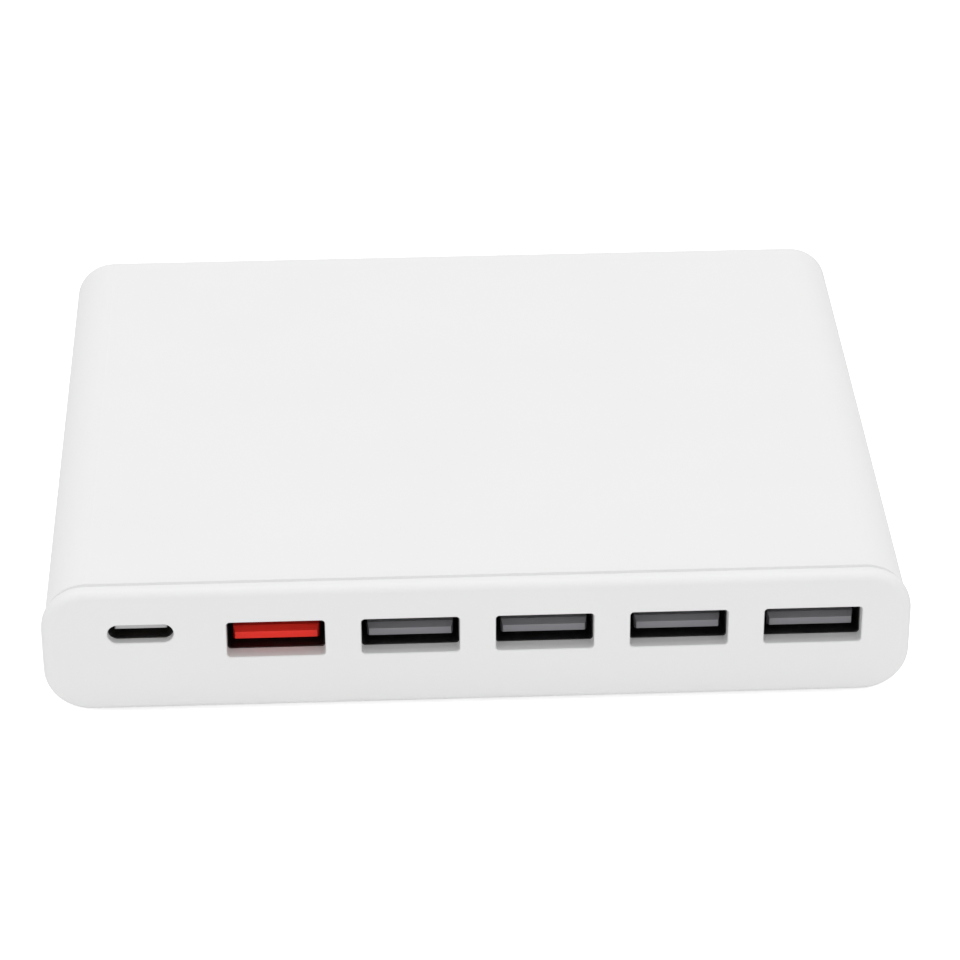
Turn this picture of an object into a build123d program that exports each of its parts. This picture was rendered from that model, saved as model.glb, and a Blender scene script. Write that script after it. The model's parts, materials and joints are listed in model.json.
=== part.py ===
"""A slim mains-powered desktop charger with five USB-A sockets and one USB-C socket.

The frame: +X is to the right as seen from the front, -Y is the front with the sockets, +Z is up.
The origin lies on the table, under the middle of the charger. All lengths are millimetres.
"""

import os

from build123d import *

os.makedirs("parts", exist_ok=True)

# Casing
sleeve_width = 111.3
sleeve_height = 17.4
sleeve_length = 89.75
sleeve_corner = 5.65
sleeve_wall = 2.0
sleeve_rear_round = 0.7
sleeve_front_bevel = 1.2
panel_lip = 0.35
panel_rim = 1.65
panel_thickness = 2.15
panel_edge = 1.1
skirt_depth = 3.0
skirt_wall = 1.2
rear_panel_thickness = 2.0
rear_panel_recess = 0.8
casing_fit = 0.1

# Feet
foot_radius = 4.5
foot_stand = 1.0
foot_pocket = 0.6
foot_edge = 0.3
foot_inset_x = 14.0
foot_inset_y = 12.0

# Circuit board, which hangs everything from its underside
board_thickness = 1.6
board_headroom = 0.79
board_gap = 0.3
ledge_reach = 2.6
ledge_height = 1.2
solder_gap = 0.05
solder_tail = 0.4
slot_fit = 0.1

# Sockets in the front panel
usb_a_count = 5
port_margin = 6.5
port_fit = 0.08
port_edge = 0.12
port_corner = 0.5
block_fit = 0.1

# USB-A socket
a_opening_width = 12.5
a_opening_height = 5.12
a_sheet = 0.3
a_depth = 14.0
a_tongue_width = 11.1
a_tongue_thickness = 1.84
a_tongue_floor = 0.64
a_tongue_recess = 0.45
a_nose_taper = 0.9
a_nose_bevel = 0.42
a_nose_flank = 0.25
a_block_depth = 4.0
a_contact_width = 1.0
a_contact_sheet = 0.25
a_contact_setback = 2.0
a_contact_inner = 1.0
a_contact_outer = 3.5
a_spring_width = 2.0
a_spring_length = 5.5
a_spring_bend = 0.45
a_spring_offset = 3.2
a_spring_setback = 2.6
a_leg_width = 1.8

# USB-C socket
c_opening_width = 8.34
c_opening_height = 2.56
c_sheet = 0.3
c_wall = 1.2
c_depth = 7.4
c_tongue_width = 6.7
c_tongue_thickness = 0.7
c_tongue_recess = 0.55
c_block_depth = 2.0
c_contact_count = 12
c_contact_pitch = 0.5
c_contact_width = 0.25
c_contact_sheet = 0.05
c_contact_length = 3.4

# Mains inlet, a two-pin figure-eight socket
pin_spacing = 8.6
pin_radius = 1.2
pin_length = 9.2
pin_tip = 0.5
lobe_radius = 4.0
waist_height = 5.6
inlet_wall = 1.1
inlet_floor = 2.5
inlet_cavity = 10.8
inlet_flange = 1.0
inlet_flange_depth = 1.4
inlet_fit = 0.15
inlet_recess = 0.2
pin_tail_width = 1.6
pin_tail_sheet = 0.8

# Parts on the circuit board
component_gap = 0.5
spreader_thickness = 0.8
spreader_inset = 8.0
pad_margin = 2.0
film_thickness = 0.25
film_margin = 1.0
core_width = 30.0
core_length = 24.0
core_leg = 4.0
core_yoke = 4.5
core_centre = 9.0
core_height = 6.0
coil_gap = 0.15
coil_round = 1.5
capacitor_length = 20.0
capacitor_groove = 0.5
choke_outer = 14.0
choke_inner = 6.5
choke_core_height = 6.0
choke_wire = 1.1
choke_arc = 130.0
x_capacitor_width = 7.5
x_capacitor_length = 16.0
y_capacitor_length = 8.0
y_capacitor_width = 4.0
fuse_radius = 4.0
fuse_height = 7.5
varistor_width = 4.5
varistor_length = 9.0
bridge_width = 4.0
bridge_length = 15.0
transistor_width = 4.5
transistor_length = 10.0
transistor_height = 8.5
heatsink_sheet = 1.5
heatsink_foot = 5.0
heatsink_length = 20.0
output_capacitor_radius = 4.0
inductor_size = 10.0
inductor_height = 5.0
chip_size = 5.0
chip_height = 1.4
optocoupler_width = 4.6
optocoupler_length = 6.5
optocoupler_height = 3.5

# Places that follow from the sizes above
panel_width = sleeve_width + 2 * panel_lip
panel_height = sleeve_height + 2 * panel_lip
panel_corner = sleeve_corner + panel_lip
bore_width = sleeve_width - 2 * sleeve_wall
bore_height = sleeve_height - 2 * sleeve_wall
bore_corner = sleeve_corner - sleeve_wall
plug_width = bore_width - 2 * casing_fit
plug_height = bore_height - 2 * casing_fit
plug_corner = bore_corner - casing_fit

overall_length = panel_rim + sleeve_length
front_y = -overall_length / 2
seam_y = front_y + panel_rim
panel_back_y = front_y + panel_thickness
rear_y = overall_length / 2
rear_panel_y = rear_y - rear_panel_recess - rear_panel_thickness
middle_z = foot_stand + sleeve_height / 2
bore_floor_z = foot_stand + sleeve_wall
bore_top_z = bore_floor_z + bore_height

board_top_z = bore_top_z - board_headroom
board_z = board_top_z - board_thickness
board_front_y = panel_back_y + skirt_depth + board_gap
board_rear_y = rear_panel_y - board_gap
board_length = board_rear_y - board_front_y
board_width = bore_width - 2 * bore_corner + 2 * board_gap
tail_top_z = board_top_z + solder_tail
spreader_top_z = bore_floor_z + spreader_thickness
bay_height = board_z - spreader_top_z - component_gap

port_count = usb_a_count + 1
port_span = panel_width - 2 * port_margin - a_opening_width
port_pitch = port_span / (port_count - 1)
port_x = [-port_span / 2 + port * port_pitch for port in range(port_count)]
usb_c_x = port_x[0]
usb_a_x = port_x[1:]
socket_y = panel_back_y + casing_fit
c_socket_y = front_y + c_wall + casing_fit
usb_a_z = board_z - solder_gap - a_sheet - a_opening_height / 2
usb_c_z = board_z - solder_gap - c_sheet - c_opening_height / 2


def facing_front(y, x=0.0, z=middle_z):
    """The upright plane at y that looks out of the front: its own x is +X and its own y is +Z."""
    return Plane(origin=(x, y, z), x_dir=(1, 0, 0), z_dir=(0, -1, 0))


def spread(sizes, low, high):
    """The centres of pieces of these sizes laid in a row from low to high with equal gaps."""
    gap = (high - low - sum(sizes)) / (len(sizes) + 1)
    centres = []
    edge = low
    for size in sizes:
        centres.append(edge + gap + size / 2)
        edge += gap + size
    return centres


def save(piece, name):
    """Labels a finished piece and writes its file."""
    piece.part.label = name
    export_step(piece.part, f"parts/{name}.step")


# Sleeve: a rounded tube, open at both ends, with a ledge along each side for the board
ledge_front_y = board_front_y - board_gap / 2
ledge_z = board_z - ledge_height / 2
foot_x = sleeve_width / 2 - foot_inset_x
foot_y = sleeve_length / 2 - foot_inset_y
sleeve_middle_y = seam_y + sleeve_length / 2
foot_places = {
    "front_left": (-foot_x, sleeve_middle_y - foot_y),
    "front_right": (foot_x, sleeve_middle_y - foot_y),
    "rear_left": (-foot_x, sleeve_middle_y + foot_y),
    "rear_right": (foot_x, sleeve_middle_y + foot_y),
}

with BuildPart() as sleeve:
    with BuildSketch(facing_front(seam_y)):
        RectangleRounded(sleeve_width, sleeve_height, sleeve_corner)
        RectangleRounded(bore_width, bore_height, bore_corner, mode=Mode.SUBTRACT)
    extrude(amount=-sleeve_length)
    fillet(sleeve.faces().sort_by(Axis.Y)[-1].outer_wire().edges(), sleeve_rear_round)
    chamfer(sleeve.faces().sort_by(Axis.Y)[0].outer_wire().edges(), sleeve_front_bevel)
    with BuildSketch(facing_front(ledge_front_y)):
        with Locations((-bore_width / 2, ledge_z - middle_z), (bore_width / 2, ledge_z - middle_z)):
            Rectangle(2 * ledge_reach, ledge_height)
        RectangleRounded(
            sleeve_width - sleeve_wall, sleeve_height - sleeve_wall, sleeve_corner - sleeve_wall / 2,
            mode=Mode.INTERSECT,
        )
    extrude(amount=-(rear_panel_y - casing_fit - ledge_front_y))
    with BuildSketch(Plane.XY.offset(foot_stand)):
        with Locations(*foot_places.values()):
            Circle(foot_radius + casing_fit)
    extrude(amount=foot_pocket, mode=Mode.SUBTRACT)
save(sleeve, "sleeve")

# Front panel: a proud rounded plate with the socket openings; its thicker core and a skirt enter
# the sleeve, and the USB-C socket reaches into a pocket in its back
c_shell_width = c_opening_width + 2 * c_sheet
c_shell_height = c_opening_height + 2 * c_sheet

with BuildPart() as front_panel:
    with BuildSketch(facing_front(seam_y)):
        RectangleRounded(panel_width, panel_height, panel_corner)
    extrude(amount=panel_rim)
    fillet(front_panel.faces().sort_by(Axis.Y)[0].outer_wire().edges(), panel_edge)
    with BuildSketch(facing_front(panel_back_y)):
        RectangleRounded(plug_width, plug_height, plug_corner)
    extrude(amount=panel_thickness - panel_rim)
    with BuildSketch(facing_front(panel_back_y)):
        RectangleRounded(plug_width, plug_height, plug_corner)
        RectangleRounded(
            plug_width - 2 * skirt_wall, plug_height - 2 * skirt_wall, plug_corner - skirt_wall,
            mode=Mode.SUBTRACT,
        )
    extrude(amount=-skirt_depth)
    with BuildSketch(facing_front(panel_back_y)):
        with Locations(*[(x, usb_a_z - middle_z) for x in usb_a_x]):
            RectangleRounded(a_opening_width + 2 * port_fit, a_opening_height + 2 * port_fit, port_corner)
        with Locations((usb_c_x, usb_c_z - middle_z)):
            SlotOverall(c_opening_width + 2 * port_fit, c_opening_height + 2 * port_fit)
    extrude(amount=panel_thickness, mode=Mode.SUBTRACT)
    with BuildSketch(facing_front(panel_back_y, usb_c_x, usb_c_z)):
        SlotOverall(c_shell_width + 2 * casing_fit, c_shell_height + 2 * casing_fit)
    extrude(amount=panel_thickness - c_wall, mode=Mode.SUBTRACT)
    front_face = front_panel.faces().sort_by(Axis.Y)[0]
    chamfer([edge for wire in front_face.inner_wires() for edge in wire.edges()], port_edge)
save(front_panel, "front_panel")

# Rear panel: a plate let into the sleeve, with the opening for the mains inlet
inlet_width = pin_spacing + 2 * (lobe_radius + inlet_wall)
inlet_height = 2 * (lobe_radius + inlet_wall)
inlet_z = board_z - solder_gap - inlet_height / 2

with BuildPart() as rear_panel:
    with BuildSketch(facing_front(rear_panel_y)):
        RectangleRounded(plug_width, plug_height, plug_corner)
        with Locations((0, inlet_z - middle_z)):
            SlotOverall(inlet_width + 2 * inlet_fit, inlet_height + 2 * inlet_fit, mode=Mode.SUBTRACT)
    extrude(amount=-rear_panel_thickness)
save(rear_panel, "rear_panel")

# Feet: round rubber pads glued into the pockets under the sleeve
for corner, place in foot_places.items():
    with BuildPart() as foot:
        with BuildSketch(Plane.XY):
            with Locations(place):
                Circle(foot_radius)
        extrude(amount=foot_stand + foot_pocket)
        chamfer(foot.edges().group_by(Axis.Z)[0], foot_edge)
    save(foot, f"foot_{corner}")

# USB-A sockets: a folded steel shell, a moulded tongue in its lower half and four contacts
a_shell_width = a_opening_width + 2 * a_sheet
a_shell_height = a_opening_height + 2 * a_sheet
a_block_y = socket_y + a_depth - a_block_depth
a_tongue_y = socket_y + a_tongue_recess
a_nose_y = a_tongue_y + a_nose_taper
a_floor_z = usb_a_z - a_opening_height / 2
a_tongue_z = a_floor_z + a_tongue_floor + a_tongue_thickness / 2
a_tongue_top_z = a_tongue_z + a_tongue_thickness / 2
a_contact_z = a_tongue_top_z - a_contact_sheet / 2
a_contact_offsets = [-a_contact_outer, -a_contact_inner, a_contact_inner, a_contact_outer]
a_contact_tail_y = socket_y + a_depth + a_contact_sheet
a_tail_middle_y = a_contact_tail_y + a_contact_sheet / 2
a_leg_y = socket_y + a_depth - a_block_depth - a_leg_width / 2
a_leg_bottom_z = usb_a_z
a_spring_rear_y = socket_y + a_spring_setback + a_spring_length
a_roof_z = usb_a_z + a_opening_height / 2

for number, x in enumerate(usb_a_x, start=1):
    with BuildPart() as shell:
        with BuildSketch(facing_front(socket_y, x, usb_a_z)):
            RectangleRounded(a_shell_width, a_shell_height, port_corner + a_sheet)
            RectangleRounded(a_opening_width, a_opening_height, port_corner, mode=Mode.SUBTRACT)
        extrude(amount=-a_depth)
        with BuildSketch(Plane.XY.offset(a_floor_z - a_sheet)):
            for offset in (-a_spring_offset, a_spring_offset):
                with Locations((x + offset, a_spring_rear_y - a_spring_length / 2)):
                    Rectangle(a_spring_width + 2 * a_sheet, a_spring_length)
        extrude(amount=a_shell_height, mode=Mode.SUBTRACT)
        for offset in (-a_spring_offset, a_spring_offset):
            for root_z, bend in ((a_roof_z, -a_spring_bend), (a_floor_z - a_sheet, a_spring_bend)):
                with BuildSketch(Plane.YZ.offset(x + offset)):
                    with BuildLine():
                        Polyline(
                            (a_spring_rear_y, root_z),
                            (a_spring_rear_y - a_spring_length + a_sheet, root_z + bend),
                            (a_spring_rear_y - a_spring_length + a_sheet, root_z + bend + a_sheet),
                            (a_spring_rear_y, root_z + a_sheet),
                            close=True,
                        )
                    make_face()
                extrude(amount=a_spring_width / 2, both=True)
        for side in (-1, 1):
            with BuildSketch(Plane.XY.offset(a_leg_bottom_z)):
                with Locations((x + side * (a_opening_width + a_sheet) / 2, a_leg_y)):
                    Rectangle(a_sheet, a_leg_width)
            extrude(amount=tail_top_z - a_leg_bottom_z)
    save(shell, f"usb_a_shell_{number}")

    with BuildPart() as tongue:
        with BuildSketch(facing_front(a_nose_y, x, a_tongue_z)):
            Rectangle(a_tongue_width, a_tongue_thickness)
        extrude(amount=-(a_block_y - a_nose_y))
        with BuildSketch(facing_front(a_nose_y, x, a_tongue_z)):
            Rectangle(a_tongue_width, a_tongue_thickness)
        with BuildSketch(facing_front(a_tongue_y, x, a_tongue_z)):
            Rectangle(a_tongue_width - 2 * a_nose_flank, a_tongue_thickness - 2 * a_nose_bevel)
        loft(ruled=True)
        with BuildSketch(facing_front(a_block_y, x, usb_a_z)):
            RectangleRounded(
                a_opening_width - 2 * block_fit, a_opening_height - 2 * block_fit, port_corner - block_fit
            )
        extrude(amount=-a_block_depth)
        with BuildSketch(facing_front(a_tongue_y + a_contact_setback, x, a_contact_z)):
            with Locations(*[(offset, slot_fit / 2) for offset in a_contact_offsets]):
                Rectangle(a_contact_width + 2 * slot_fit, a_contact_sheet + slot_fit)
        extrude(amount=-a_depth, mode=Mode.SUBTRACT)
    save(tongue, f"usb_a_tongue_{number}")

    with BuildPart() as contacts:
        with BuildSketch(facing_front(a_tongue_y + a_contact_setback + slot_fit, x, a_contact_z)):
            with Locations(*[(offset, 0) for offset in a_contact_offsets]):
                Rectangle(a_contact_width, a_contact_sheet)
        extrude(amount=-(a_contact_tail_y - a_tongue_y - a_contact_setback - slot_fit))
        with BuildSketch(Plane.XY.offset(a_contact_z - a_contact_sheet / 2)):
            with Locations(*[(x + offset, a_tail_middle_y) for offset in a_contact_offsets]):
                Rectangle(a_contact_width, a_contact_sheet)
        extrude(amount=tail_top_z - a_contact_z + a_contact_sheet / 2)
    save(contacts, f"usb_a_contacts_{number}")

# USB-C socket: a drawn steel shell, a thin tongue in its middle and contacts on both of its faces
c_block_y = c_socket_y + c_depth - c_block_depth
c_tongue_y = c_socket_y + c_tongue_recess
c_leg_y = c_socket_y + c_depth - a_leg_width / 2
c_contact_x = [
    usb_c_x + (index - (c_contact_count - 1) / 2) * c_contact_pitch for index in range(c_contact_count)
]

with BuildPart() as usb_c_shell:
    with BuildSketch(facing_front(c_socket_y, usb_c_x, usb_c_z)):
        SlotOverall(c_shell_width, c_shell_height)
        SlotOverall(c_opening_width, c_opening_height, mode=Mode.SUBTRACT)
    extrude(amount=-c_depth)
    with BuildSketch(Plane.XY.offset(usb_c_z)):
        for side in (-1, 1):
            with Locations((usb_c_x + side * (c_opening_width + c_sheet) / 2, c_leg_y)):
                Rectangle(c_sheet, a_leg_width)
    extrude(amount=tail_top_z - usb_c_z)
save(usb_c_shell, "usb_c_shell")

with BuildPart() as usb_c_tongue:
    with BuildSketch(facing_front(c_tongue_y, usb_c_x, usb_c_z)):
        Rectangle(c_tongue_width, c_tongue_thickness)
    extrude(amount=-(c_block_y - c_tongue_y))
    chamfer(usb_c_tongue.faces().sort_by(Axis.Y)[0].edges(), c_tongue_thickness / 5)
    with BuildSketch(facing_front(c_block_y, usb_c_x, usb_c_z)):
        SlotOverall(c_opening_width - 2 * block_fit, c_opening_height - 2 * block_fit)
    extrude(amount=-c_block_depth)
save(usb_c_tongue, "usb_c_tongue")

with BuildPart() as usb_c_contacts:
    for face_z in (usb_c_z + c_tongue_thickness / 2, usb_c_z - c_tongue_thickness / 2 - c_contact_sheet):
        with BuildSketch(Plane.XY.offset(face_z)):
            with Locations(*[(x, c_block_y - c_contact_length / 2) for x in c_contact_x]):
                Rectangle(c_contact_width, c_contact_length)
        extrude(amount=c_contact_sheet)
save(usb_c_contacts, "usb_c_contacts")

# Mains inlet: a black shroud flush with the rear panel, with a figure-eight cavity and two round pins
inlet_mouth_y = rear_y - rear_panel_recess - inlet_recess
inlet_floor_y = inlet_mouth_y - inlet_cavity
inlet_front_y = inlet_floor_y - inlet_floor
inlet_flange_y = rear_panel_y - inlet_flange_depth
pin_x = {"left": -pin_spacing / 2, "right": pin_spacing / 2}
pin_tail_y = inlet_front_y - solder_gap - pin_tail_sheet / 2

with BuildPart() as inlet_housing:
    with BuildSketch(facing_front(inlet_front_y, 0, inlet_z)):
        SlotOverall(inlet_width, inlet_height)
    extrude(amount=-(inlet_mouth_y - inlet_front_y))
    with BuildSketch(facing_front(inlet_flange_y, 0, inlet_z)):
        Rectangle(inlet_width + 2 * inlet_flange, inlet_height)
    extrude(amount=-inlet_flange_depth)
    with BuildSketch(facing_front(inlet_floor_y, 0, inlet_z)):
        with Locations(*[(x, 0) for x in pin_x.values()]):
            Circle(lobe_radius)
        Rectangle(pin_spacing, waist_height)
    extrude(amount=-inlet_cavity, mode=Mode.SUBTRACT)
    with BuildSketch(facing_front(inlet_front_y, 0, inlet_z)):
        with Locations(*[(x, 0) for x in pin_x.values()]):
            Circle(pin_radius)
    extrude(amount=-inlet_floor, mode=Mode.SUBTRACT)
save(inlet_housing, "inlet_housing")

for side, x in pin_x.items():
    with BuildPart() as pin:
        with BuildSketch(facing_front(pin_tail_y, x, inlet_z)):
            Circle(pin_radius)
        extrude(amount=-(inlet_floor_y + pin_length - pin_tail_y))
        chamfer(pin.faces().sort_by(Axis.Y)[-1].edges(), pin_tip)
        with BuildSketch(Plane.XY.offset(inlet_z)):
            with Locations((x, pin_tail_y)):
                Rectangle(pin_tail_width, pin_tail_sheet)
        extrude(amount=tail_top_z - inlet_z)
    save(pin, f"inlet_pin_{side}")

# Circuit board, with a slot for every tail that is soldered through it
a_leg_x = [x + side * (a_opening_width + a_sheet) / 2 for x in usb_a_x for side in (-1, 1)]
c_leg_x = [usb_c_x + side * (c_opening_width + c_sheet) / 2 for side in (-1, 1)]
board_middle_y = (board_front_y + board_rear_y) / 2

with BuildPart() as main_board:
    with BuildSketch(Plane.XY.offset(board_z)):
        with Locations((0, board_middle_y)):
            Rectangle(board_width, board_length)
        with Locations(*[(x, a_leg_y) for x in a_leg_x]):
            Rectangle(a_sheet + 2 * slot_fit, a_leg_width + 2 * slot_fit, mode=Mode.SUBTRACT)
        with Locations(*[(x, c_leg_y) for x in c_leg_x]):
            Rectangle(c_sheet + 2 * slot_fit, a_leg_width + 2 * slot_fit, mode=Mode.SUBTRACT)
        with Locations(*[(x + offset, a_tail_middle_y) for x in usb_a_x for offset in a_contact_offsets]):
            Rectangle(a_contact_width + 2 * slot_fit, a_contact_sheet + 2 * slot_fit, mode=Mode.SUBTRACT)
        with Locations(*[(x, pin_tail_y) for x in pin_x.values()]):
            Rectangle(pin_tail_width + 2 * slot_fit, pin_tail_sheet + 2 * slot_fit, mode=Mode.SUBTRACT)
    extrude(amount=board_thickness)
save(main_board, "main_board")

# Places on the board: three rows behind the USB sockets, the last one on both sides of the inlet
mount_z = board_z - solder_gap
board_side = board_width / 2
inlet_side = inlet_width / 2 + inlet_flange
coil_width = core_width - 2 * core_leg - 2 * coil_gap
coil_length = core_length - 2 * core_yoke - 2 * coil_gap
coil_height = bay_height - component_gap
choke_width = choke_outer + 2 * choke_wire
heatsink_group = heatsink_foot + transistor_width
capacitor_radius = bay_height / 2

first_row_y, second_row_y, third_row_y = spread(
    [inductor_size, core_length, capacitor_length], a_contact_tail_y + a_contact_sheet, board_rear_y
)
inductor_1_x, output_1_x, inductor_2_x, output_2_x, port_chip_x, inductor_3_x, output_3_x = spread(
    [
        inductor_size, 2 * output_capacitor_radius, inductor_size, 2 * output_capacitor_radius,
        chip_size, inductor_size, 2 * output_capacitor_radius,
    ],
    -board_side, board_side,
)
secondary_x, core_x, optocoupler_x, y_capacitor_x, primary_chip_x, primary_x = spread(
    [heatsink_group, core_width, optocoupler_width, y_capacitor_width, chip_size, heatsink_group],
    -board_side, board_side,
)
x_capacitor_x, choke_x, fuse_x = spread(
    [x_capacitor_width, choke_width, 2 * fuse_radius], -board_side, -inlet_side
)
varistor_x, bridge_x, bulk_1_x, bulk_2_x = spread(
    [varistor_width, bridge_width, 2 * capacitor_radius, 2 * capacitor_radius], inlet_side, board_side
)


def hang_block(name, x, y, width, length, height):
    """A moulded block that hangs from the board."""
    with BuildPart() as block:
        with BuildSketch(Plane.XY.offset(mount_z - height)):
            with Locations((x, y)):
                Rectangle(width, length)
        extrude(amount=height)
    save(block, name)


def hang_can(name, x, y, radius, height):
    """An upright round can that hangs from the board."""
    with BuildPart() as can:
        with BuildSketch(Plane.XY.offset(mount_z - height)):
            with Locations((x, y)):
                Circle(radius)
        extrude(amount=height)
    save(can, name)


def hang_disc(name, x, y, width, diameter):
    """A round disc on edge that hangs from the board."""
    with BuildPart() as disc:
        with BuildSketch(Plane.YZ.offset(x)):
            with Locations((y, mount_z - diameter / 2)):
                Circle(diameter / 2)
        extrude(amount=width / 2, both=True)
    save(disc, name)


# Transformer: a flat ferrite core with the coil round its middle leg
window_width = (core_width - 2 * core_leg - core_centre) / 2
window_x = (core_centre + window_width) / 2
core_z = mount_z - coil_height / 2

with BuildPart() as transformer_core:
    with BuildSketch(Plane.XY.offset(core_z)):
        with Locations((core_x, second_row_y)):
            Rectangle(core_width, core_length)
        with Locations((core_x - window_x, second_row_y), (core_x + window_x, second_row_y)):
            Rectangle(window_width, core_length - 2 * core_yoke, mode=Mode.SUBTRACT)
    extrude(amount=core_height / 2, both=True)
save(transformer_core, "transformer_core")

with BuildPart() as transformer_coil:
    with BuildSketch(facing_front(second_row_y, core_x, core_z)):
        RectangleRounded(coil_width, coil_height, coil_round)
        Rectangle(core_centre + 2 * coil_gap, core_height + 2 * coil_gap, mode=Mode.SUBTRACT)
    extrude(amount=coil_length / 2, both=True)
save(transformer_coil, "transformer_coil")

# Bulk capacitors: two cans on their sides, each with a crimped groove near its plugged end
for number, x in enumerate((bulk_1_x, bulk_2_x), start=1):
    with BuildPart() as capacitor:
        with BuildSketch(facing_front(third_row_y, x, mount_z - capacitor_radius)):
            Circle(capacitor_radius)
        extrude(amount=capacitor_length / 2, both=True)
        with BuildSketch(facing_front(third_row_y + capacitor_length / 4, x, mount_z - capacitor_radius)):
            Circle(capacitor_radius)
            Circle(capacitor_radius - capacitor_groove, mode=Mode.SUBTRACT)
        extrude(amount=-2 * capacitor_groove, mode=Mode.SUBTRACT)
    save(capacitor, f"bulk_capacitor_{number}")

# Line choke: a ferrite ring with two windings wrapped round it
choke_z = mount_z - choke_wire - choke_core_height / 2
ring_width = (choke_outer - choke_inner) / 2
ring_radius = (choke_outer + choke_inner) / 4
choke_axis = Axis((choke_x, third_row_y, choke_z), (0, 0, 1))

with BuildPart() as choke_core:
    with BuildSketch(Plane.XY.offset(choke_z)):
        with Locations((choke_x, third_row_y)):
            Circle(choke_outer / 2)
            Circle(choke_inner / 2, mode=Mode.SUBTRACT)
    extrude(amount=choke_core_height / 2, both=True)
save(choke_core, "choke_core")

with BuildPart() as choke_windings:
    for start in (-choke_arc / 2, 180 - choke_arc / 2):
        radial = Vector(1, 0, 0).rotate(Axis.Z, start)
        across = Vector(0, -1, 0).rotate(Axis.Z, start)
        with BuildSketch(Plane(origin=(choke_x, third_row_y, choke_z), x_dir=radial, z_dir=across)):
            with Locations((ring_radius, 0)):
                Rectangle(ring_width + 2 * choke_wire, choke_core_height + 2 * choke_wire)
                Rectangle(ring_width + slot_fit, choke_core_height + slot_fit, mode=Mode.SUBTRACT)
        revolve(axis=choke_axis, revolution_arc=choke_arc)
save(choke_windings, "choke_windings")

# Heatsinks: two bent aluminium strips, each with its transistor against the upright side
for stage, x, side in (("primary", primary_x, 1), ("secondary", secondary_x, -1)):
    transistor_x = x - side * (heatsink_group - transistor_width) / 2
    fin_x = transistor_x + side * (transistor_width + heatsink_sheet) / 2
    strip_x = x + side * (heatsink_group - heatsink_foot) / 2
    with BuildPart() as heatsink:
        with BuildSketch(Plane.XY.offset(mount_z - bay_height)):
            with Locations((fin_x, second_row_y)):
                Rectangle(heatsink_sheet, heatsink_length)
        extrude(amount=bay_height)
        with BuildSketch(Plane.XY.offset(mount_z - bay_height)):
            with Locations((strip_x, second_row_y)):
                Rectangle(heatsink_foot, heatsink_length)
        extrude(amount=heatsink_sheet)
    save(heatsink, f"{stage}_heatsink")
    hang_block(
        f"{stage}_transistor", transistor_x, second_row_y,
        transistor_width, transistor_length, transistor_height,
    )

# Single moulded parts
for number, x in enumerate((inductor_1_x, inductor_2_x, inductor_3_x), start=1):
    hang_block(f"buck_inductor_{number}", x, first_row_y, inductor_size, inductor_size, inductor_height)
for number, x in enumerate((output_1_x, output_2_x, output_3_x), start=1):
    hang_can(f"output_capacitor_{number}", x, first_row_y, output_capacitor_radius, bay_height)
hang_can("fuse", fuse_x, third_row_y, fuse_radius, fuse_height)
hang_disc("varistor", varistor_x, third_row_y, varistor_width, varistor_length)
hang_disc("y_capacitor", y_capacitor_x, second_row_y, y_capacitor_width, y_capacitor_length)
hang_block("x_capacitor", x_capacitor_x, third_row_y, x_capacitor_width, x_capacitor_length, bay_height)
hang_block("bridge_rectifier", bridge_x, third_row_y, bridge_width, bridge_length, bay_height)
hang_block("port_controller", port_chip_x, first_row_y, chip_size, chip_size, chip_height)
hang_block("primary_controller", primary_chip_x, second_row_y, chip_size, chip_size, chip_height)
hang_block(
    "optocoupler", optocoupler_x, second_row_y, optocoupler_width, optocoupler_length, optocoupler_height
)

# Heat spreader on the floor of the sleeve, and the soft pad between it and the transformer
flat_width = bore_width - 2 * bore_corner
pad_height = mount_z - coil_height - spreader_top_z
spreader_front_y = board_front_y + spreader_inset
spreader_rear_y = inlet_front_y - spreader_inset / 2

with BuildPart() as heat_spreader:
    with BuildSketch(Plane.XY.offset(bore_floor_z)):
        with Locations((0, (spreader_front_y + spreader_rear_y) / 2)):
            Rectangle(flat_width, spreader_rear_y - spreader_front_y)
    extrude(amount=spreader_thickness)
save(heat_spreader, "heat_spreader")

with BuildPart() as thermal_pad:
    with BuildSketch(Plane.XY.offset(spreader_top_z)):
        with Locations((core_x, second_row_y)):
            Rectangle(coil_width - 2 * pad_margin, coil_length - 2 * pad_margin)
    extrude(amount=pad_height)
save(thermal_pad, "thermal_pad")

# Insulating film between the soldered side of the board and the top of the sleeve
with BuildPart() as insulating_film:
    with BuildSketch(Plane.XY.offset(bore_top_z - film_thickness)):
        with Locations((0, board_middle_y)):
            Rectangle(flat_width - 2 * film_margin, board_length - 2 * film_margin)
    extrude(amount=film_thickness)
save(insulating_film, "insulating_film")
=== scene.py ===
"""The looks of a slim white desktop charger with a row of USB sockets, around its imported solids."""

import json
from math import radians

import bpy
from mathutils import Matrix, Vector


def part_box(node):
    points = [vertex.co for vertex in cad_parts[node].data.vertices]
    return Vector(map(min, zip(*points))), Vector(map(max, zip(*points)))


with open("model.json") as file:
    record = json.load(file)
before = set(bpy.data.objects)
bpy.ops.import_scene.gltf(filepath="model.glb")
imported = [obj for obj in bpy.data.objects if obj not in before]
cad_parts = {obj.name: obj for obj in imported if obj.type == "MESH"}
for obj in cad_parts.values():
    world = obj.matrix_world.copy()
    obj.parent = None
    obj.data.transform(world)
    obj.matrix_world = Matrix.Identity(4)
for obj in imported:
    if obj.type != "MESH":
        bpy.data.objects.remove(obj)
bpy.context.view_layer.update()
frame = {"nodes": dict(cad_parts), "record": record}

# Camera, from the sockets and the outline in the photograph
PHOTO_WIDTH = 960
CAMERA_FOCAL_PIXELS = 3729.7
CAMERA_ELEVATION = radians(31.035)
CAMERA_TURN = radians(-2.286)
CAMERA_ROLL = radians(-0.226)
CAMERA_AIM_HEIGHT = 0.009863
CAMERA_RIGHT = 0.000261
CAMERA_ABOVE = 0.020867
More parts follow.
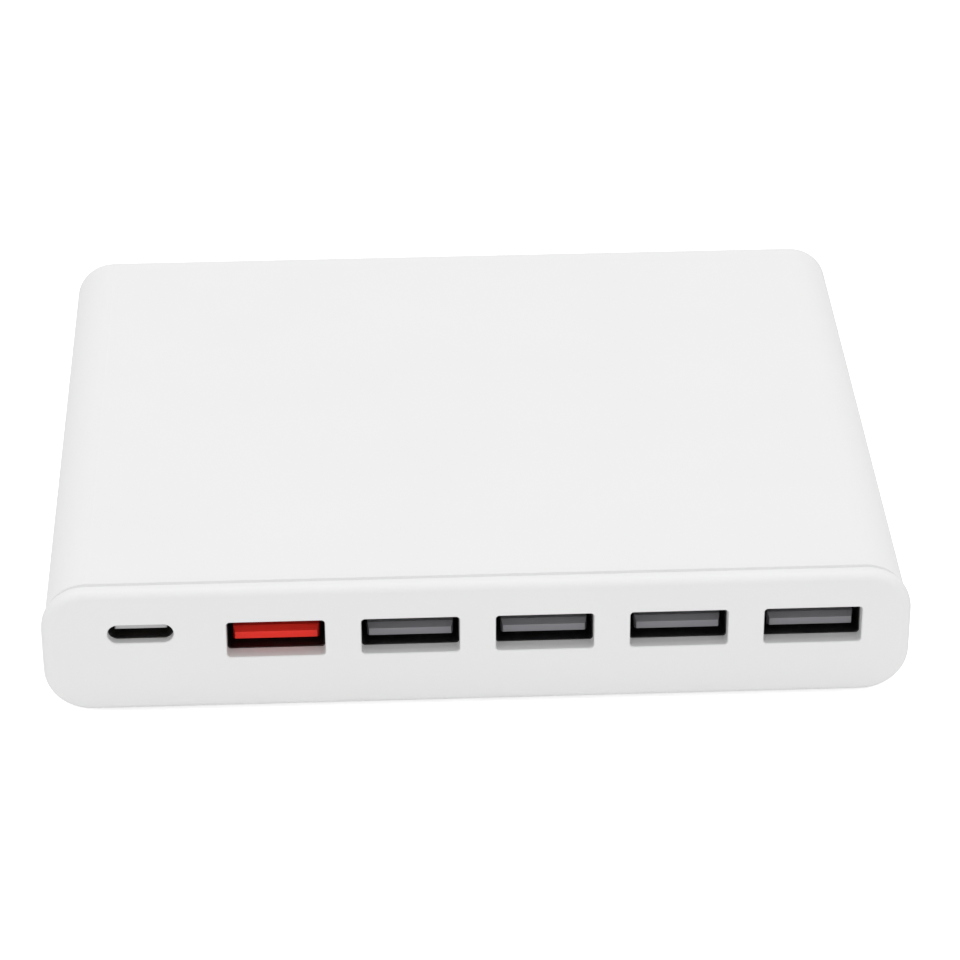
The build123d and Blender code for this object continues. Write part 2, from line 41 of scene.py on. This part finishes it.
CAMERA_DISTANCE = 0.4802
CAMERA_SENSOR = 36.0
CAMERA_NEAR = 0.01

# Light and backdrop
WHITE = 1.0
WORLD_LIGHT = 0.66
OVERHEAD_PLACE = (0.0, 0.1, 1.25)
OVERHEAD_SIZE = (1.6, 0.8)
OVERHEAD_WATTS = 7.0
FRONT_PLACE = (0.0, -1.4, 0.3)
FRONT_SIZE = (2.0, 0.5)
FRONT_WATTS = 3.2
FLOOR_SIZE = 6.0
FLOOR_SHADE = 0.93
FLOOR_LIFT = 0.65
FLOOR_MIRROR_LIFT = 0.07

# Surface noise: scales in cycles per metre, depths in metres
CLOUD_SCALE = 60.0
CLOUD_DETAIL = 3.0
GRAIN_DETAIL = 2.0
METAL_SCALE = 900.0
METAL_DETAIL = 4.0
METAL_STRENGTH = 0.1
METAL_DEPTH = 0.00002


def colour(red, green, blue):
    """A linear colour with full alpha."""
    return (red, green, blue, 1.0)


def grey(value):
    """A neutral colour of this linear brightness."""
    return colour(value, value, value)


def new_material(name):
    """A node material with only its shader and output, and the shader."""
    material = bpy.data.materials.new(name)
    material.use_nodes = True
    return material, material.node_tree.nodes["Principled BSDF"]


def add_noise(tree, scale, detail):
    """A noise texture in the object's own metres."""
    place = tree.nodes.new("ShaderNodeTexCoord")
    noise = tree.nodes.new("ShaderNodeTexNoise")
    noise.inputs["Scale"].default_value = scale
    noise.inputs["Detail"].default_value = detail
    tree.links.new(place.outputs["Object"], noise.inputs["Vector"])
    return noise.outputs["Fac"]


def add_range(tree, factor, low, high):
    """A number that follows the factor between low and high."""
    span = tree.nodes.new("ShaderNodeMapRange")
    span.inputs["To Min"].default_value = low
    span.inputs["To Max"].default_value = high
    tree.links.new(factor, span.inputs["Value"])
    return span.outputs["Result"]


def add_tint(tree, factor, dark, light):
    """A colour that follows the factor between two colours."""
    ramp = tree.nodes.new("ShaderNodeValToRGB")
    ramp.color_ramp.elements[0].color = dark
    ramp.color_ramp.elements[1].color = light
    tree.links.new(factor, ramp.inputs["Fac"])
    return ramp.outputs["Color"]


def add_bump(tree, shader, factor, strength, depth):
    """Fine relief on the surface from the factor."""
    bump = tree.nodes.new("ShaderNodeBump")
    bump.inputs["Strength"].default_value = strength
    bump.inputs["Distance"].default_value = depth
    tree.links.new(factor, bump.inputs["Height"])
    tree.links.new(bump.outputs["Normal"], shader.inputs["Normal"])


def moulded_plastic(name, dark, light, roughness, grain, shine=0.5):
    """Plastic with a slight cloudiness, and grain given as the scale, strength and depth of its relief."""
    material, shader = new_material(name)
    tree = material.node_tree
    shader.inputs["Specular IOR Level"].default_value = shine
    cloud = add_noise(tree, CLOUD_SCALE, CLOUD_DETAIL)
    tree.links.new(add_tint(tree, cloud, dark, light), shader.inputs["Base Color"])
    tree.links.new(add_range(tree, cloud, *roughness), shader.inputs["Roughness"])
    scale, strength, depth = grain
    add_bump(tree, shader, add_noise(tree, scale, GRAIN_DETAIL), strength, depth)
    return material


def sheet_metal(name, dark, light, roughness):
    """Plated metal with fine uneven gloss."""
    material, shader = new_material(name)
    tree = material.node_tree
    shader.inputs["Metallic"].default_value = 1.0
    cloud = add_noise(tree, METAL_SCALE, METAL_DETAIL)
    tree.links.new(add_tint(tree, cloud, dark, light), shader.inputs["Base Color"])
    tree.links.new(add_range(tree, cloud, *roughness), shader.inputs["Roughness"])
    add_bump(tree, shader, cloud, METAL_STRENGTH, METAL_DEPTH)
    return material


materials = {
    "casing_white": moulded_plastic(
        "satin_white",
        dark=grey(0.83),
        light=grey(0.85),
        roughness=(0.44, 0.52),
        grain=(5000.0, 0.06, 0.00002),
        shine=0.2,
    ),
    "panel_white": moulded_plastic(
        "panel_white",
        dark=grey(0.83),
        light=grey(0.85),
        roughness=(0.46, 0.52),
        grain=(5000.0, 0.05, 0.00002),
        shine=0.2,
    ),
    "foot_rubber": moulded_plastic(
        "grey_rubber",
        dark=grey(0.3),
        light=grey(0.36),
        roughness=(0.75, 0.85),
        grain=(2500.0, 0.3, 0.00005),
    ),
    "tongue_red": moulded_plastic(
        "red_tongue",
        dark=colour(0.88, 0.03, 0.018),
        light=colour(0.94, 0.038, 0.024),
        roughness=(0.4, 0.48),
        grain=(4000.0, 0.1, 0.00002),
        shine=0.25,
    ),
    "tongue_grey": moulded_plastic(
        "grey_tongue",
        dark=colour(0.225, 0.225, 0.24),
        light=colour(0.255, 0.25, 0.27),
        roughness=(0.4, 0.48),
        grain=(4000.0, 0.1, 0.00002),
    ),
    "tongue_pale": moulded_plastic(
        "pale_tongue",
        dark=grey(0.58),
        light=grey(0.62),
        roughness=(0.4, 0.48),
        grain=(4000.0, 0.1, 0.00002),
    ),
    "black_plastic": moulded_plastic(
        "black_moulding",
        dark=grey(0.012),
        light=grey(0.018),
        roughness=(0.4, 0.5),
        grain=(3500.0, 0.15, 0.00003),
    ),
    "board_green": moulded_plastic(
        "solder_mask",
        dark=colour(0.02, 0.12, 0.05),
        light=colour(0.03, 0.16, 0.07),
        roughness=(0.35, 0.45),
        grain=(3000.0, 0.1, 0.00002),
    ),
    "ferrite": moulded_plastic(
        "sintered_ferrite",
        dark=grey(0.03),
        light=grey(0.05),
        roughness=(0.6, 0.7),
        grain=(3000.0, 0.3, 0.00005),
    ),
    "coil_tape": moulded_plastic(
        "yellow_tape",
        dark=colour(0.7, 0.5, 0.07),
        light=colour(0.78, 0.58, 0.1),
        roughness=(0.3, 0.4),
        grain=(900.0, 0.1, 0.00003),
    ),
    "film_yellow": moulded_plastic(
        "yellow_box",
        dark=colour(0.72, 0.5, 0.08),
        light=colour(0.78, 0.56, 0.1),
        roughness=(0.4, 0.5),
        grain=(3000.0, 0.1, 0.00003),
    ),
    "disc_blue": moulded_plastic(
        "blue_dip",
        dark=colour(0.03, 0.1, 0.4),
        light=colour(0.04, 0.14, 0.48),
        roughness=(0.3, 0.4),
        grain=(1500.0, 0.2, 0.00005),
    ),
    "thermal_grey": moulded_plastic(
        "gap_filler",
        dark=grey(0.35),
        light=grey(0.42),
        roughness=(0.7, 0.8),
        grain=(1500.0, 0.3, 0.00005),
    ),
    "film_clear": moulded_plastic(
        "milky_film",
        dark=grey(0.7),
        light=grey(0.75),
        roughness=(0.3, 0.4),
        grain=(1200.0, 0.05, 0.00002),
    ),
    "can_sleeve": moulded_plastic(
        "shrink_sleeve",
        dark=colour(0.02, 0.025, 0.04),
        light=colour(0.03, 0.035, 0.055),
        roughness=(0.3, 0.4),
        grain=(1500.0, 0.1, 0.00002),
    ),
    # Socket steel is made much darker than real plating so the insides of the ports read nearly black:
    # painted shade
    "socket_steel": sheet_metal(
        "plated_steel_painted_shade",
        dark=grey(0.1),
        light=grey(0.14),
        roughness=(0.34, 0.44),
    ),
    "contact_metal": sheet_metal(
        "gilded_contact",
        dark=colour(0.7, 0.48, 0.2),
        light=colour(0.78, 0.56, 0.26),
        roughness=(0.22, 0.3),
    ),
    "pin_metal": sheet_metal(
        "nickel_pin",
        dark=colour(0.62, 0.6, 0.56),
        light=colour(0.7, 0.68, 0.63),
        roughness=(0.2, 0.3),
    ),
    "copper_wire": sheet_metal(
        "enamelled_copper",
        dark=colour(0.5, 0.2, 0.08),
        light=colour(0.58, 0.25, 0.1),
        roughness=(0.3, 0.4),
    ),
    "aluminium": sheet_metal(
        "plain_aluminium",
        dark=grey(0.62),
        light=grey(0.7),
        roughness=(0.35, 0.45),
    ),
}

# Every solid takes the material of its slot
for part in frame["record"]["subparts"]:
    node = frame["nodes"][part["node"]]
    node.data.materials.clear()
    node.data.materials.append(materials[part["material_slot"]])


def add_level(tree, lighting, seen, mirrored):
    """A strength for rays that light the object, one for the camera's, and one for mirrored rays."""
    path = tree.nodes.new("ShaderNodeLightPath")
    bounced = tree.nodes.new("ShaderNodeMath")
    bounced.operation = "MAXIMUM"
    unseen = tree.nodes.new("ShaderNodeMapRange")
    unseen.inputs["To Min"].default_value = lighting
    unseen.inputs["To Max"].default_value = mirrored
    level = tree.nodes.new("ShaderNodeMix")
    level.inputs["B"].default_value = seen
    tree.links.new(path.outputs["Is Glossy Ray"], bounced.inputs[0])
    tree.links.new(path.outputs["Is Transmission Ray"], bounced.inputs[1])
    tree.links.new(bounced.outputs["Value"], unseen.inputs["Value"])
    tree.links.new(path.outputs["Is Camera Ray"], level.inputs["Factor"])
    tree.links.new(unseen.outputs["Result"], level.inputs["A"])
    return level.outputs["Result"]


def add_floor():
    """A pale floor that keeps the shadow and reads as white to the camera."""
    bpy.ops.mesh.primitive_plane_add(size=FLOOR_SIZE)
    floor = bpy.context.object
    floor.name = "floor"
    material = bpy.data.materials.new("pale_floor")
    material.use_nodes = True
    tree = material.node_tree
    tree.nodes.clear()
    matt = tree.nodes.new("ShaderNodeBsdfDiffuse")
    matt.inputs["Color"].default_value = grey(FLOOR_SHADE)
    lift = tree.nodes.new("ShaderNodeEmission")
    lift.inputs["Color"].default_value = grey(WHITE)
    both = tree.nodes.new("ShaderNodeAddShader")
    output = tree.nodes.new("ShaderNodeOutputMaterial")
    level = add_level(tree, lighting=0.0, seen=FLOOR_LIFT, mirrored=FLOOR_MIRROR_LIFT)
    tree.links.new(level, lift.inputs["Strength"])
    tree.links.new(matt.outputs["BSDF"], both.inputs[0])
    tree.links.new(lift.outputs["Emission"], both.inputs[1])
    tree.links.new(both.outputs["Shader"], output.inputs["Surface"])
    floor.data.materials.append(material)


def add_world():
    """An even sky: softer for the light that it throws, white where it is seen or mirrored."""
    world = bpy.data.worlds.new("studio")
    bpy.context.scene.world = world
    world.use_nodes = True
    tree = world.node_tree
    tree.nodes.clear()
    sky = tree.nodes.new("ShaderNodeBackground")
    sky.inputs["Color"].default_value = grey(WHITE)
    output = tree.nodes.new("ShaderNodeOutputWorld")
    level = add_level(tree, lighting=WORLD_LIGHT, seen=WHITE, mirrored=WHITE)
    tree.links.new(level, sky.inputs["Strength"])
    tree.links.new(sky.outputs["Background"], output.inputs["Surface"])


def add_softbox(name, place, size, watts):
    """A wide soft lamp that faces the charger."""
    lamp = bpy.data.lights.new(name, "AREA")
    lamp.shape = "RECTANGLE"
    lamp.size, lamp.size_y = size
    lamp.energy = watts
    softbox = bpy.data.objects.new(name, lamp)
    softbox.location = place
    softbox.rotation_euler = softbox.location.to_track_quat("Z", "Y").to_euler()
    bpy.context.scene.collection.objects.link(softbox)


def add_camera():
    """The photograph's camera, placed from the middle of the front panel's face."""
    low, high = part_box("front_panel")
    aim = Vector((0.0, low.y, CAMERA_AIM_HEIGHT))
    turn = Matrix.Rotation(CAMERA_TURN, 3, "Z")
    tilt = Matrix.Rotation(radians(90.0) - CAMERA_ELEVATION, 3, "X")
    roll = Matrix.Rotation(CAMERA_ROLL, 3, "Z")
    axes = turn @ tilt @ roll
    lens = bpy.data.cameras.new("camera")
    lens.sensor_width = CAMERA_SENSOR
    lens.lens = lens.sensor_width * CAMERA_FOCAL_PIXELS / PHOTO_WIDTH
    lens.clip_start = CAMERA_NEAR
    camera = bpy.data.objects.new("camera", lens)
    camera.matrix_world = axes.to_4x4()
    camera.location = aim + axes @ Vector((CAMERA_RIGHT, CAMERA_ABOVE, CAMERA_DISTANCE))
    bpy.context.scene.collection.objects.link(camera)
    bpy.context.scene.camera = camera


add_floor()
add_world()
add_softbox("overhead", OVERHEAD_PLACE, OVERHEAD_SIZE, OVERHEAD_WATTS)
add_softbox("front_fill", FRONT_PLACE, FRONT_SIZE, FRONT_WATTS)
add_camera()
bpy.context.scene.view_settings.view_transform = "Standard"
